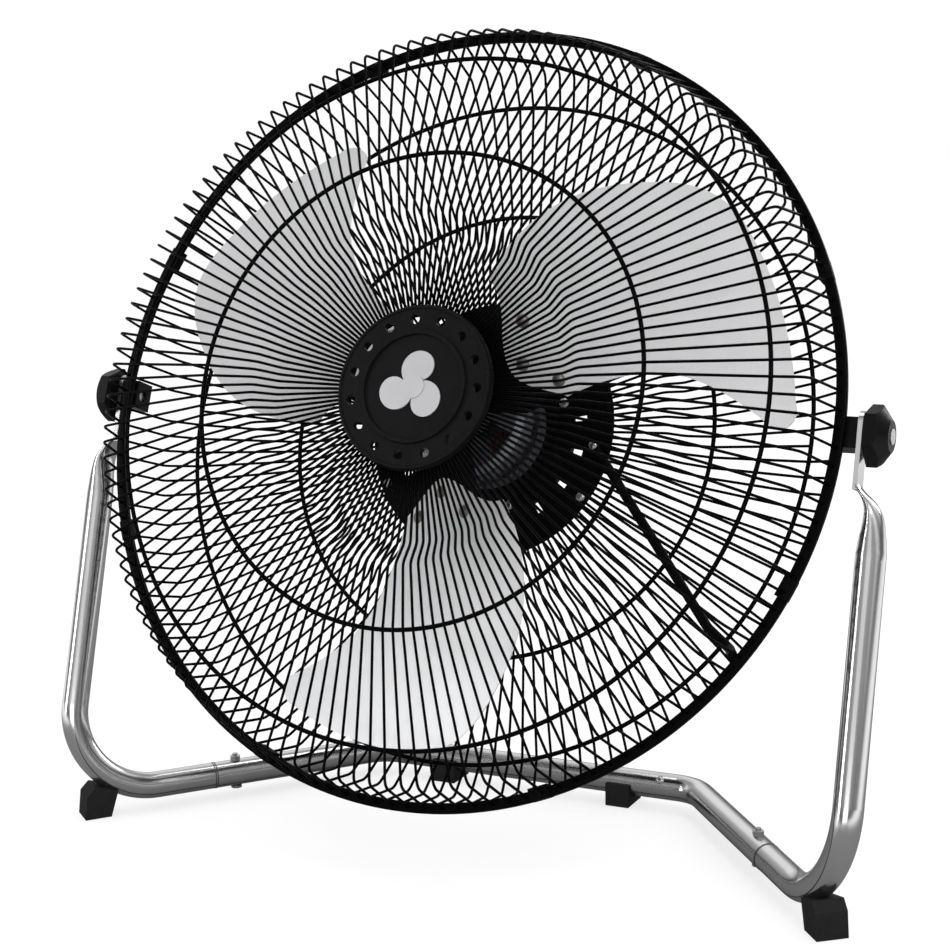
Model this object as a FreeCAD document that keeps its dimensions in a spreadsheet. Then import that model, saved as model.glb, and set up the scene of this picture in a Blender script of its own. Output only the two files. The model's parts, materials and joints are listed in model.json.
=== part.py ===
import FreeCAD, Part
import Sketcher
import math
import os

V = FreeCAD.Vector
Rotation = FreeCAD.Rotation
Placement = FreeCAD.Placement

# A round high-velocity floor fan: a tilting caged head carried by a bent tube stand.
# Frame: +Z up, floor at Z = 0, the head faces -Y, +X is to the right of someone facing it.
# All lengths in mm, angles in degrees.
SIZES = [
    # stand
    ("axis_y", 7.2), ("pivot_height", 297.5), ("tilt_up", 22.0), ("upright_lean", 16.4),
    ("tube_radius", 9.5), ("tube_wall", 1.3), ("tube_height", 16.0), ("upright_x", 284.5),
    ("front_bend", 55.0), ("rear_bend", 28.0), ("rear_bar_y", 107.8), ("rear_corner_x", 126.0),
    ("joint_share", 0.45), ("sleeve_length", 70.0), ("tongue_x", 271.0), ("tongue_thick", 3.0),
    ("tongue_width", 14.0), ("tongue_top", 15.0), ("tongue_drop", 30.0), ("taper_length", 47.0),
    ("front_foot_width", 21.0), ("rear_foot_x", 70.0), ("rear_foot_width", 18.0),
    ("rear_foot_depth", 25.0), ("joint_screw_radius", 2.0), ("front_foot_shift", 2.5),
    ("screw_back", 17.0),
    # pivots and knobs
    ("pivot_back", 12.0), ("stud_radius", 4.0), ("running_gap", 0.05), ("face_gap", 0.1),
    ("bracket_half", 9.8), ("bracket_inner", 257.0), ("bracket_depth", 17.0), ("knob_radius", 19.8),
    ("knob_grip", 8.5), ("knob_nose", 5.5), ("knob_boss", 6.5), ("knob_boss_length", 3.0),
    # cage
    ("rim_radius", 265.0), ("rim_width", 5.0), ("rim_thick", 7.0), ("wire_radius", 0.95),
    ("ring_radius", 1.5), ("wire_count", 140.0), ("wire_bend", 10.0),
    ("front_ring_small", 156.0), ("front_ring_large", 229.0), ("rear_ring_small", 157.0),
    ("rear_ring_large", 230.0), ("hub_ring", 50.0),
    # badge
    ("badge_radius", 54.5), ("badge_back", 57.4), ("badge_thick", 4.0), ("badge_lip", 3.0),
    ("badge_ring_inner", 34.0), ("badge_ring_outer", 37.5), ("badge_hole_circle", 44.7),
    ("badge_hole", 3.1), ("badge_hole_count", 15.0), ("badge_turn", -7.7), ("emblem_radius", 22.0),
    # motor, all positions measured back from the rim's mid-plane
    ("plate_radius", 90.0), ("plate_front", 60.0), ("plate_thick", 2.0), ("motor_radius", 42.0),
    ("shell_wall", 2.5), ("bell_front", 17.0), ("core_front", 34.0), ("core_back", 46.0),
    ("core_bore", 24.0), ("rotor_radius", 23.6), ("shaft_radius", 5.0), ("shaft_front", 14.0),
    ("bush_radius", 9.0), ("bush_length", 6.0), ("fin_height", 2.2), ("fin_width", 1.6),
    ("fin_count", 24.0), ("cover_radius", 54.0), ("cover_depth", 32.0), ("cover_wall", 2.2),
    # fan
    ("blade_tip", 227.0), ("blade_thick", 1.2), ("spider_thick", 2.5), ("hub_radius", 14.0),
    ("blade_mid_y", -5.0), ("blade_mid_angle", 31.0), ("lead_at_axis", 22.0), ("lead_growth", 0.13),
    ("rivet_radius", 5.0), ("brace_radius", 3.25),
]

doc = FreeCAD.newDocument("floor_fan")
sheet = doc.addObject("Spreadsheet::Sheet", "Sizes")
for row, (alias, value) in enumerate(SIZES, start=1):
    sheet.set("A%d" % row, alias)
    sheet.set("B%d" % row, str(value))
    sheet.setAlias("B%d" % row, alias)
doc.recompute()
size = {alias: float(value) for alias, value in SIZES}
nodes = {}


def reads(expression):
    """Point the aliases of an expression at the sheet."""
    words = sorted(size, key=len, reverse=True)
    for index, word in enumerate(words):
        expression = expression.replace(word, "<%d>" % index)
    for index, word in enumerate(words):
        expression = expression.replace("<%d>" % index, "Sizes." + word)
    return expression


def amount(expression):
    return float(sheet.evalExpression(expression))


def bind(item, **rules):
    """Bind an object's sizes to expressions over the sheet."""
    for name, expression in rules.items():
        item.setExpression(name, reads(expression))


def primitive(kind, name, place=None, **rules):
    item = doc.addObject("Part::" + kind, name)
    bind(item, **rules)
    if place:
        item.Placement = place
    return item


def boolean(kind, name, first, others):
    item = doc.addObject("Part::" + kind, name)
    if kind == "Cut":
        item.Base = first
        item.Tool = others[0]
    else:
        item.Shapes = [first] + others
    return item


def keep(label, item, place=None):
    """Name one sub-part, and place it."""
    item.Label = label
    if place:
        item.Placement = place
    nodes[label] = item
    return item


def keep_shape(label, shape, place=None):
    """Keep a swept or freely curved solid that no parametric feature makes."""
    item = doc.addObject("Part::Feature", label)
    item.Shape = shape
    return keep(label, item, place)


def plane(body, role):
    return [part for part in body.Origin.OriginFeatures if part.Role == role][0]


def new_sketch(body, role, name):
    sketch = body.newObject("Sketcher::SketchObject", name)
    sketch.AttachmentSupport = (plane(body, role), "")
    sketch.MapMode = "FlatFace"
    return sketch


def closed_outline(sketch, corners):
    """Draw a closed outline whose corners are pairs of expressions, each bound to the sheet."""
    places = [V(amount(across), amount(up), 0) for across, up in corners]
    count = len(places)
    sides = [Part.LineSegment(places[i], places[(i + 1) % count]) for i in range(count)]
    first = sketch.addGeometry(sides, False)[0]
    for i in range(count):
        sketch.addConstraint(make("Coincident", first + i, 2, first + (i + 1) % count, 1))
    for i, (across, up) in enumerate(corners):
        for kind, rule, value in (("DistanceX", across, places[i].x), ("DistanceY", up, places[i].y)):
            index = sketch.addConstraint(make(kind, -1, 1, first + i, 1, value))
            sketch.setExpression("Constraints[%d]" % index, reads(rule))


def make(*words):
    return Sketcher.Constraint(*words)


def circle(sketch, across, up, radius):
    """Draw a circle whose place and radius follow the sheet."""
    middle = V(amount(across), amount(up), 0)
    index = sketch.addGeometry(Part.Circle(middle, V(0, 0, 1), amount(radius)), False)
    rule_number = sketch.addConstraint(make("Radius", index, amount(radius)))
    sketch.setExpression("Constraints[%d]" % rule_number, reads(radius))
    for kind, rule, value in (("DistanceX", across, middle.x), ("DistanceY", up, middle.y)):
        rule_number = sketch.addConstraint(make(kind, -1, 1, index, 3, value))
        sketch.setExpression("Constraints[%d]" % rule_number, reads(rule))


def turned(label, corners, place):
    """A body turned about the Y axis from corners given as (along Y, radius)."""
    body = doc.addObject("PartDesign::Body", label)
    sketch = new_sketch(body, "YZ_Plane", label + "_profile")
    closed_outline(sketch, corners)
    turn = body.newObject("PartDesign::Revolution", label + "_turn")
    turn.Profile = sketch
    turn.ReferenceAxis = (sketch, ["H_Axis"])
    turn.Angle = 360
    return keep(label, body, place)


def repeated(body, feature, count, name):
    """Repeat a feature round the Y axis, and make the pattern the body's tip."""
    pattern = body.newObject("PartDesign::PolarPattern", name)
    pattern.Originals = [feature]
    pattern.Axis = (plane(body, "Y_Axis"), [""])
    pattern.Angle = 360
    pattern.setExpression("Occurrences", reads(count))
    body.Tip = pattern
    return pattern


def solid_pipe(corners, radius, bend):
    """A round bar along straight runs, with arcs of one bend radius at the inner corners."""
    mouth = Part.Wire(Part.makeCircle(radius, corners[0], corners[1] - corners[0]))
    return rounded_path(corners, bend).makePipeShell([mouth], True, False, 0)


def rounded_path(corners, bend):
    """Straight runs joined by tangent arcs."""
    edges = []
    start = corners[0]
    for before, corner, after in zip(corners, corners[1:], corners[2:]):
        back = (before - corner).normalize()
        ahead = (after - corner).normalize()
        half = back.getAngle(ahead) / 2
        reach = bend / math.tan(half)
        first = corner + back * reach
        last = corner + ahead * reach
        inward = (back + ahead).normalize()
        middle = corner + inward * (bend / math.sin(half) - bend)
        edges.append(Part.LineSegment(start, first).toShape())
        edges.append(Part.Arc(first, middle, last).toShape())
        start = last
    edges.append(Part.LineSegment(start, corners[-1]).toShape())
    return Part.Wire(edges)


# The two frames everything is placed in: the stand's, and the head's, which is tilted about the pivots.
pivot = V(0, size["axis_y"], size["pivot_height"])
tilted = Placement(pivot, Rotation(V(1, 0, 0), -size["tilt_up"]))
head = tilted * Placement(V(0, -size["pivot_back"], 0), Rotation())
along_y = Rotation(V(1, 0, 0), -90)
along_x = Rotation(V(0, 1, 0), 90)


def along(direction):
    return Rotation(V(0, 0, 1), direction)


# ---- stand: two side tubes, a rear tube, sleeves, screws and feet ----
lean = math.radians(size["upright_lean"])
rise = V(0, math.sin(lean), math.cos(lean))
corner_z = size["tube_height"]
corner_y = size["axis_y"] - (size["pivot_height"] - corner_z) * math.tan(lean)
front_corner = V(size["upright_x"], corner_y, corner_z)
rear_corner = V(size["rear_corner_x"], size["axis_y"] + size["rear_bar_y"], corner_z)
joint = front_corner + (rear_corner - front_corner) * size["joint_share"]
arm = (rear_corner - front_corner).normalize()
bore = size["tube_radius"] - size["tube_wall"]


def mirrored(point, side):
    return V(side * point.x, point.y, point.z)


def side_tube(side):
    """Arm, bend and upright as one tube, whose top is pressed flat into a drilled tongue."""
    pivot_point = V(side * size["tongue_x"], size["axis_y"], size["pivot_height"])
    flat_start = size["tongue_drop"]
    top = mirrored(front_corner + rise * ((size["pivot_height"] - corner_z) / math.cos(lean)), side)
    round_end = top - rise * (flat_start + size["taper_length"])
    path = [mirrored(joint, side), mirrored(front_corner, side), round_end]
    outer = solid_pipe(path, size["tube_radius"], size["front_bend"])
    inner = solid_pipe(path, bore, size["front_bend"])
    tongue_middle = pivot_point + V(side * size["tongue_thick"] / 2, 0, 0)
    sections = []
    # share of the pressed length, share of the sideways step, half width and half thickness in tube radii
    stages = [(0.0, 0.0, 1.0, 1.0), (0.14, 0.0, 1.01, 0.97), (0.28, 0.0, 1.04, 0.89), (0.42, 0.0, 1.07, 0.78),
              (0.56, 0.03, 1.09, 0.64), (0.69, 0.14, 1.07, 0.49), (0.80, 0.38, 0.99, 0.35),
              (0.90, 0.74, 0.86, 0.23), (1.0, 1.0, size["tongue_width"] / 2 / size["tube_radius"],
                                         size["tongue_thick"] / 2 / size["tube_radius"])]
    for share, shift, wide_share, thin_share in stages:
        wide = wide_share * size["tube_radius"]
        thin = thin_share * size["tube_radius"]
        middle = round_end + rise * (size["taper_length"] * share)
        middle.x += (tongue_middle.x - round_end.x) * shift
        oval = Part.Circle(V(0, 0, 0), V(0, 0, 1), wide)
        if wide > thin:
            oval = Part.Ellipse(V(0, 0, 0), wide, thin)
        edge = oval.toShape()
        across = V(0, math.cos(lean), -math.sin(lean))
        edge.Placement = Placement(middle, Rotation(across, V(-1, 0, 0), rise, "ZXY"))
        sections.append(Part.Wire(edge))
    taper = Part.makeLoft(sections, True, False)
    length = flat_start + 4 + size["tongue_top"]
    tongue = Part.makeBox(size["tongue_thick"], size["tongue_width"], length - size["tongue_width"] / 2)
    tongue.translate(V(0, -size["tongue_width"] / 2, -flat_start - 4))
    cap = Part.makeCylinder(size["tongue_width"] / 2, size["tongue_thick"],
                            V(0, 0, size["tongue_top"] - size["tongue_width"] / 2), V(1, 0, 0))
    hole_radius = size["stud_radius"] + size["running_gap"]
    hole = Part.makeCylinder(hole_radius, size["tongue_thick"] + 2, V(-1, 0, 0), V(1, 0, 0))
    tongue = tongue.fuse(cap).removeSplitter().cut(hole)
    tongue.Placement = Placement(pivot_point - V(size["tongue_thick"] if side < 0 else 0, 0, 0),
                                 Rotation(V(1, 0, 0), -size["upright_lean"]))
    return outer.fuse([taper, tongue]).cut(inner)


def foot_blank(side):
    """A wedge under the outside of the front bend, standing on the floor."""
    width = size["front_foot_width"]
    across = V(arm.y, -arm.x, 0)
    # (back along the arm from the bend's corner, up from the floor)
    outline = [(32, 0), (13, 0), (15, 17), (21, 23), (38, 19)]
    start = across * (size["front_foot_shift"] - width / 2)
    points = [front_corner + arm * back + V(0, 0, up - corner_z) + start for back, up in outline]
    points = [mirrored(point, side) for point in points]
    face = Part.Face(Part.makePolygon(points + points[:1]))
    return face.extrude(mirrored(across * width, side))


screw_spot = joint + arm * size["screw_back"]
for side, name in ((-1, "left"), (1, "right")):
    keep_shape("side_tube_" + name, side_tube(side))
    bend_path = [mirrored(point, side) for point in (joint, front_corner, front_corner + rise * 120)]
    envelope = solid_pipe(bend_path, size["tube_radius"], size["front_bend"])
    keep_shape("front_foot_" + name, foot_blank(side).cut(envelope))

rear = doc.addObject("PartDesign::Body", "rear_tube")
route = new_sketch(rear, "XY_Plane", "rear_route")
to_joint = V(-arm.x, -arm.y, 0)
toward_middle = V(-1, 0, 0)
half_turn = toward_middle.getAngle(to_joint) / 2
corner = V(rear_corner.x, rear_corner.y, 0)
reach = size["rear_bend"] / math.tan(half_turn)
bar_end = corner + toward_middle * reach
arm_start = corner + to_joint * reach
arc_middle = corner + (toward_middle + to_joint).normalize() * (size["rear_bend"] / math.sin(half_turn)
                                                                - size["rear_bend"])
bar_line = Part.LineSegment(V(0, corner.y, 0), bar_end)
bend_arc = Part.Arc(bar_end, arc_middle, arm_start)
arm_line = Part.LineSegment(arm_start, V(joint.x, joint.y, 0))
route.addGeometry([bar_line, bend_arc, arm_line], False)
mouth = new_sketch(rear, "YZ_Plane", "rear_mouth")
circle(mouth, "axis_y + rear_bar_y", "0", "tube_radius")
circle(mouth, "axis_y + rear_bar_y", "0", "tube_radius - tube_wall")
doc.recompute()
pipe = rear.newObject("PartDesign::AdditivePipe", "rear_pipe")
pipe.Profile = mouth
pipe.Spine = (route, ["Edge1", "Edge2", "Edge3"])
doc.recompute()
twin = rear.newObject("PartDesign::Mirrored", "rear_pipe_twin")
twin.Originals = [pipe]
twin.MirrorPlane = (plane(rear, "YZ_Plane"), [""])
rear.Tip = twin
doc.recompute()
holes = new_sketch(rear, "XY_Plane", "rear_screw_holes")
for side in (-1, 1):
    hole_middle = V(side * screw_spot.x, screw_spot.y, 0)
    hole_radius = size["joint_screw_radius"] + size["running_gap"]
    holes.addGeometry(Part.Circle(hole_middle, V(0, 0, 1), hole_radius), False)
drill = rear.newObject("PartDesign::Pocket", "rear_screw_drill")
drill.Profile = holes
drill.Type = "ThroughAll"
drill.Midplane = True
keep("rear_tube", rear, Placement(V(0, 0, corner_z), Rotation()))

for side, name in ((-1, "left"), (1, "right")):
    middle = mirrored(joint, side)
    aim = mirrored(arm, side)
    place = Placement(middle - aim * (size["sleeve_length"] / 2), along(aim))
    sleeve = primitive("Cylinder", "sleeve_bar_" + name, place, Radius="tube_radius - tube_wall - face_gap",
                       Height="sleeve_length")
    drill_place = Placement(mirrored(screw_spot, side) - V(0, 0, 20), Rotation())
    hole = primitive("Cylinder", "sleeve_hole_" + name, drill_place,
                     Radius="joint_screw_radius + running_gap", Height="40")
    keep("joint_sleeve_" + name, boolean("Cut", "sleeve_" + name, sleeve, [hole]))
    under = Placement(mirrored(screw_spot, side) - V(0, 0, 11.5), Rotation())
    over = Placement(mirrored(screw_spot, side) + V(0, 0, size["tube_radius"]), Rotation())
    screw = primitive("Cylinder", "screw_shank_" + name, under, Radius="joint_screw_radius", Height="26")
    nut = primitive("Prism", "screw_nut_" + name, over, Circumradius="4", Height="3.2")
    cap = primitive("Cylinder", "screw_cap_" + name, under, Radius="4", Height="2")
    keep("joint_screw_" + name, boolean("MultiFuse", "screw_" + name, screw, [nut, cap]))
    block = primitive("Box", "rear_foot_block_" + name,
                      Placement(V(side * size["rear_foot_x"] - size["rear_foot_width"] / 2,
                                  rear_corner.y - size["rear_foot_depth"] / 2, 0), Rotation()),
                      Length="rear_foot_width", Width="rear_foot_depth", Height="tube_height + 1")
    bar = primitive("Cylinder", "rear_foot_seat_" + name,
                    Placement(V(side * size["rear_foot_x"] - 20, rear_corner.y, corner_z), along_x),
                    Radius="tube_radius", Height="40")
    keep("rear_foot_" + name, boolean("Cut", "rear_foot_cut_" + name, block, [bar]))

# ---- cage: rim, front and rear wire guards ----
turned("guard_rim", [("-rim_width / 2", "rim_radius - rim_thick"), ("-rim_width / 2", "rim_radius - 1"),
                     ("-rim_width / 2 + 1", "rim_radius"), ("rim_width / 2 - 1", "rim_radius"),
                     ("rim_width / 2", "rim_radius - 1"), ("rim_width / 2", "rim_radius - rim_thick")], head)

rim_seat = size["rim_width"] / 2
wire_rim = size["rim_radius"] - size["rim_thick"] / 2
front_profile = [(-56, 49), (-58.5, 101), (-68, 115), (-65.5, size["front_ring_small"]),
                 (-44.6, size["front_ring_large"]), (-39, 251.5), (-rim_seat, wire_rim)]
plate_back = size["plate_front"] + size["plate_thick"]
rear_profile = [(plate_back + size["wire_radius"], 80), (plate_back + 3, 126), (73, 137),
                (74.5, size["rear_ring_small"]), (52.8, size["rear_ring_large"]), (39.5, 251.5),
                (rim_seat, wire_rim)]


def ring_seat(profile, out, inward):
    """The place along the axis where a ring of that radius just touches the wires from inside the cage."""
    touching = [(first, last) for first, last in zip(profile, profile[1:]) if first[1] <= out <= last[1]]
    (back, start), (next_back, end) = touching[0]
    wire_back = back + (next_back - back) * (out - start) / (end - start)
    steepest = max(abs(math.atan2(last[0] - first[0], last[1] - first[1])) for first, last in touching)
    return wire_back + inward * (size["wire_radius"] + size["ring_radius"]) / math.cos(steepest)


def guard(profile, ring_radii, inward, short=()):
    """Radial wires and the round rings they are welded to; the wires named short stop at the large ring."""
    def spoke(stations):
        return solid_pipe([V(0, back, out) for back, out in stations], size["wire_radius"], size["wire_bend"])
    whole = spoke(profile)
    stub = spoke(profile[:5])
    count = int(size["wire_count"])
    solids = []
    for number in range(count):
        wire = (stub if number in short else whole).copy()
        wire.Placement = Placement(V(0, 0, 0), Rotation(V(0, 1, 0), 360.0 * number / count))
        solids.append(wire)
    for out in ring_radii:
        middle = V(0, ring_seat(profile, out, inward), 0)
        solids.append(Part.makeTorus(out, size["ring_radius"], middle, V(0, 1, 0)))
    return Part.makeCompound(solids)


quarter = int(size["wire_count"]) // 4
front_rings = [size["hub_ring"], size["front_ring_small"], size["front_ring_large"]]
rear_rings = [size["rear_ring_small"], size["rear_ring_large"]]
keep_shape("front_guard", guard(front_profile, front_rings, 1), head)
keep_shape("rear_guard", guard(rear_profile, rear_rings, -1, (quarter, 3 * quarter)), head)

# ---- badge ----
badge = turned("badge_disc", [
    ("-badge_back", "0"), ("-badge_back - badge_thick", "0"),
    ("-badge_back - badge_thick", "badge_ring_inner"),
    ("-badge_back - badge_thick - 2", "badge_ring_inner + 0.5"),
    ("-badge_back - badge_thick - 2", "badge_ring_outer - 0.5"),
    ("-badge_back - badge_thick", "badge_ring_outer"),
    ("-badge_back - badge_thick", "badge_radius - badge_lip"),
    ("-badge_back - badge_thick - 1", "badge_radius - badge_lip + 0.5"),
    ("-badge_back - badge_thick - 1", "badge_radius - 1"),
    ("-badge_back - badge_thick + 1", "badge_radius"), ("-badge_back", "badge_radius")],
    head * Placement(V(0, 0, 0), Rotation(V(0, 1, 0), size["badge_turn"])))
doc.recompute()
hole_sketch = new_sketch(badge, "XZ_Plane", "badge_hole_sketch")
circle(hole_sketch, "0", "badge_hole_circle", "badge_hole")
hole_cut = badge.newObject("PartDesign::Pocket", "badge_hole_cut")
hole_cut.Profile = hole_sketch
hole_cut.Type = "ThroughAll"
hole_cut.Midplane = True
doc.recompute()
repeated(badge, hole_cut, "badge_hole_count", "badge_holes")

emblem_front = -size["badge_back"] - size["badge_thick"]


def on_badge(across, up):
    return V(across, emblem_front, up)


petal_tip = on_badge(8, size["emblem_radius"])
petal_arcs = [Part.Arc(on_badge(4, 4), on_badge(13, 12), petal_tip),
              Part.Arc(petal_tip, on_badge(-6, 20), on_badge(-7, 4)),
              Part.LineSegment(on_badge(-7, 4), on_badge(4, 4))]
petal = Part.Face(Part.Wire([curve.toShape() for curve in petal_arcs])).extrude(V(0, -1, 0))
petals = []
for number in range(3):
    leaf = petal.copy()
    leaf.rotate(V(0, 0, 0), V(0, 1, 0), 120 * number)
    petals.append(leaf)
boss = Part.makeCylinder(8, 1.6, V(0, emblem_front, 0), V(0, -1, 0))
keep_shape("badge_emblem", boss.fuse(petals), head)
turned("badge_retainer", [("-badge_back", "0"), ("-badge_back", "40"), ("-badge_back + 0.8", "40"),
                          ("-badge_back + 3", "34"), ("-badge_back + 3", "0")], head)

# ---- motor ----
plate = turned("motor_plate", [("plate_front", "shaft_radius + 6"), ("plate_front", "plate_radius"),
                               ("plate_front + plate_thick", "plate_radius"),
                               ("plate_front + plate_thick", "shaft_radius + 6")], head)
doc.recompute()
slot_sketch = new_sketch(plate, "XZ_Plane", "plate_slot_sketch")
closed_outline(slot_sketch, [("-1.6", "62"), ("1.6", "62"), ("2", "71"), ("-2", "71")])
slot_cut = plate.newObject("PartDesign::Pocket", "plate_slot_cut")
slot_cut.Profile = slot_sketch
slot_cut.Type = "ThroughAll"
slot_cut.Midplane = True
doc.recompute()
repeated(plate, slot_cut, "18", "plate_slots")

bell = turned("motor_bell_front", [
    ("bell_front - bush_length", "shaft_radius + running_gap"), ("bell_front - bush_length", "bush_radius"),
    ("bell_front", "bush_radius"), ("bell_front", "motor_radius - 4"), ("bell_front + 4", "motor_radius"),
    ("core_front", "motor_radius"), ("core_front", "motor_radius - shell_wall"),
    ("bell_front + shell_wall", "motor_radius - shell_wall"),
    ("bell_front + shell_wall", "shaft_radius + running_gap")], head)
doc.recompute()
vent_sketch = new_sketch(bell, "XZ_Plane", "bell_vent_sketch")
closed_outline(vent_sketch, [("-7", "17"), ("7", "17"), ("9", "36"), ("-9", "36")])
vent_cut = bell.newObject("PartDesign::Pocket", "bell_vent_cut")
vent_cut.Profile = vent_sketch
vent_cut.Type = "ThroughAll"
vent_cut.Midplane = True
doc.recompute()
repeated(bell, vent_cut, "6", "bell_vents")

turned("motor_fins", [("bell_front + 6", "motor_radius"), ("bell_front + 6", "motor_radius + 0.8"),
                      ("core_front", "motor_radius + 0.8"), ("core_front", "motor_radius")], head)
fins = nodes["motor_fins"]
doc.recompute()
fin_sketch = new_sketch(fins, "XZ_Plane", "fin_sketch")
closed_outline(fin_sketch, [
    ("-fin_width / 2", "motor_radius + 0.4"), ("fin_width / 2", "motor_radius + 0.4"),
    ("fin_width / 2", "motor_radius + fin_height"), ("-fin_width / 2", "motor_radius + fin_height")])
fin_sketch.AttachmentOffset = Placement(V(0, 0, -size["core_front"]), Rotation())
fin = fins.newObject("PartDesign::Pad", "fin")
fin.Profile = fin_sketch
bind(fin, Length="core_front - bell_front - 6")
doc.recompute()
repeated(fins, fin, "fin_count", "fin_row")

turned("stator_core", [
    ("core_front", "core_bore"), ("core_front", "motor_radius"), ("core_back", "motor_radius"),
    ("core_back", "core_bore")], head)
turned("winding_front", [
    ("core_front - 9", "27"), ("core_front - 11", "30"), ("core_front - 11", "34"),
    ("core_front - 8", "37"), ("core_front", "38"), ("core_front", "26")], head)
turned("winding_rear", [
    ("core_back", "26"), ("core_back", "38"), ("core_back + 6", "37"), ("core_back + 8", "34"),
    ("core_back + 8", "30"), ("core_back + 6", "27")], head)
turned("motor_bell_rear", [
    ("core_back", "motor_radius - shell_wall"), ("core_back", "motor_radius"),
    ("plate_front - 2", "motor_radius"),
    ("plate_front", "motor_radius - 2"), ("plate_front", "shaft_radius + running_gap"),
    ("plate_front - 5", "shaft_radius + running_gap"), ("plate_front - 5", "bush_radius"),
    ("plate_front - shell_wall", "bush_radius + 2"),
    ("plate_front - shell_wall", "motor_radius - shell_wall")], head)
turned("rear_cover", [
    ("plate_front + plate_thick", "cover_radius - cover_wall"), ("plate_front + plate_thick", "cover_radius"),
    ("plate_front + plate_thick + cover_depth - 10", "cover_radius"),
    ("plate_front + plate_thick + cover_depth", "cover_radius - 12"),
    ("plate_front + plate_thick + cover_depth", "6"),
    ("plate_front + plate_thick + cover_depth - cover_wall", "6"),
    ("plate_front + plate_thick + cover_depth - cover_wall", "cover_radius - 13"),
    ("plate_front + plate_thick + cover_depth - 11", "cover_radius - cover_wall")], head)
cover_back = plate_back + size["cover_depth"]
keep("switch_body", primitive("Box", "switch_box", None, Length="24", Width="16", Height="24"),
     head * Placement(V(-12, cover_back - size["cover_wall"] - 16.2, -12), Rotation()))
keep("capacitor", primitive("Box", "capacitor_box", None, Length="40", Width="14", Height="18"),
     head * Placement(V(-20, plate_back + 0.2, 18), Rotation()))
keep("cord_gland", primitive("Cylinder", "gland", None, Radius="6", Height="9"),
     head * Placement(V(0, plate_back + 12, -size["cover_radius"] - 0.02), Rotation(V(1, 0, 0), 180)))

# ---- brace from the motor plate to the rim ----
brace_path = [V(78, size["plate_front"] - 3.3, -6), V(100, size["plate_front"] - 3.3, -32), V(179, 44, -123),
              V(200, 30, -136.5), V(211.0, 3, -143.4)]
keep_shape("brace_rod", solid_pipe(brace_path, size["brace_radius"], 10.0), head)

# ---- pivot brackets and studs ----
for side, name in ((-1, "left"), (1, "right")):
    outer_face = size["tongue_x"] - size["face_gap"]
    start = min(side * size["bracket_inner"], side * outer_face)
    block = primitive("Box", "bracket_block_" + name,
                      Placement(V(start, size["pivot_back"] - 7.5, -size["bracket_half"]), Rotation()),
                      Length="tongue_x - face_gap - bracket_inner", Width="bracket_depth",
                      Height="2 * bracket_half")
    hole = primitive("Cylinder", "bracket_hole_" + name,
                     Placement(V(start - 1, size["pivot_back"], 0), along_x),
                     Radius="stud_radius", Height="tongue_x - bracket_inner + 2")
    keep("pivot_bracket_" + name, boolean("Cut", "bracket_cut_" + name, block, [hole]), head)
    stud_start = side * (size["bracket_inner"] + 2)
    stud = primitive("Cylinder", "stud_bar_" + name,
                     Placement(V(stud_start, size["pivot_back"], 0), Rotation(V(0, 1, 0), 90 * side)),
                     Radius="stud_radius - 0.01", Height="29")
    keep("pivot_stud_" + name, stud, head * stud.Placement)

# ---- fan: shaft, rotor, spider, blades and rivets ----
turned("shaft", [("-shaft_front", "0"), ("-shaft_front", "shaft_radius - 0.5"),
                 ("-shaft_front + 0.5", "shaft_radius"),
                 ("plate_front - 1", "shaft_radius"), ("plate_front - 1", "0")], head)
turned("rotor", [("core_front - 3", "shaft_radius"), ("core_front - 3", "rotor_radius - 2"),
                 ("core_front", "rotor_radius"), ("core_back", "rotor_radius"),
                 ("core_back + 3", "rotor_radius - 2"), ("core_back + 3", "shaft_radius")], head)


def polar(radius, angle, back=0.0):
    turn = math.radians(angle)
    return V(radius * math.cos(turn), back, radius * math.sin(turn))


def blade_face(offset):
    """The screw surface of one blade, from hub to tip, moved back by offset."""
    rows = []
    for radius in (8, 45, 90, 135, 180, 235):
        row = []
        for angle in (-40, -15, 10, 35, 60, 85, 110):
            lead = size["lead_at_axis"] + size["lead_growth"] * radius
            back = size["blade_mid_y"] - lead * math.radians(angle - size["blade_mid_angle"])
            row.append(polar(radius, angle, back + offset))
        rows.append(row)
    surface = Part.BSplineSurface()
    surface.interpolate(rows)
    return surface.toShape()


def curve_through(points):
    curve = Part.BSplineCurve()
    curve.interpolate(points)
    return curve.toShape()


def column(edges):
    """A prism along the fan's axis, from an outline drawn in front of the fan."""
    return Part.Face(Part.Wire(edges)).extrude(V(0, 200, 0))


blade_tip = size["blade_tip"]
front_limit = -100.0
leading = [(78, 10.5), (106, 14), (150, 12.5), (190, 5.5), (213, 0.8)]
trailing = [(blade_tip, 33), (217, 43), (190, 52), (159, 61), (120, 69), (86, 73)]
root = [(86, 73), (66, 58), (50, 42), (48, 30), (58, 18), (78, 10.5)]


def blade_edges():
    def lay(stations):
        return [polar(radius, angle, front_limit) for radius, angle in stations]
    tip_start, tip_middle, tip_end = lay([(blade_tip, 5), (blade_tip, 19), (blade_tip, 33)])
    tip = Part.Arc(tip_start, tip_middle, tip_end)
    corner_start, corner_middle = lay([leading[-1], (223.5, 1.5)])
    corner = Part.Arc(corner_start, corner_middle, tip_start)
    return [curve_through(lay(leading)), corner.toShape(), tip.toShape(), curve_through(lay(trailing)),
            curve_through(lay(root))]


thick = size["blade_thick"]
blade = blade_face(0).extrude(V(0, thick, 0)).common(column(blade_edges()))
arm_angle = 36.0
arm_outline = [(10, -6), (40, -26), (72, -32), (86, -18), (86, 18), (72, 30), (40, 26), (10, 6)]
out_way = polar(1, arm_angle)
side_way = polar(1, arm_angle + 90)
arm_points = [out_way * out + side_way * across + V(0, front_limit, 0) for out, across in arm_outline]
arm_column = Part.Face(Part.makePolygon(arm_points + arm_points[:1])).extrude(V(0, 200, 0))
spider_arm = blade_face(thick).extrude(V(0, size["spider_thick"], 0)).common(arm_column)
rivet_spots = [(57, 34), (75, 19), (75, 51)]


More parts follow.
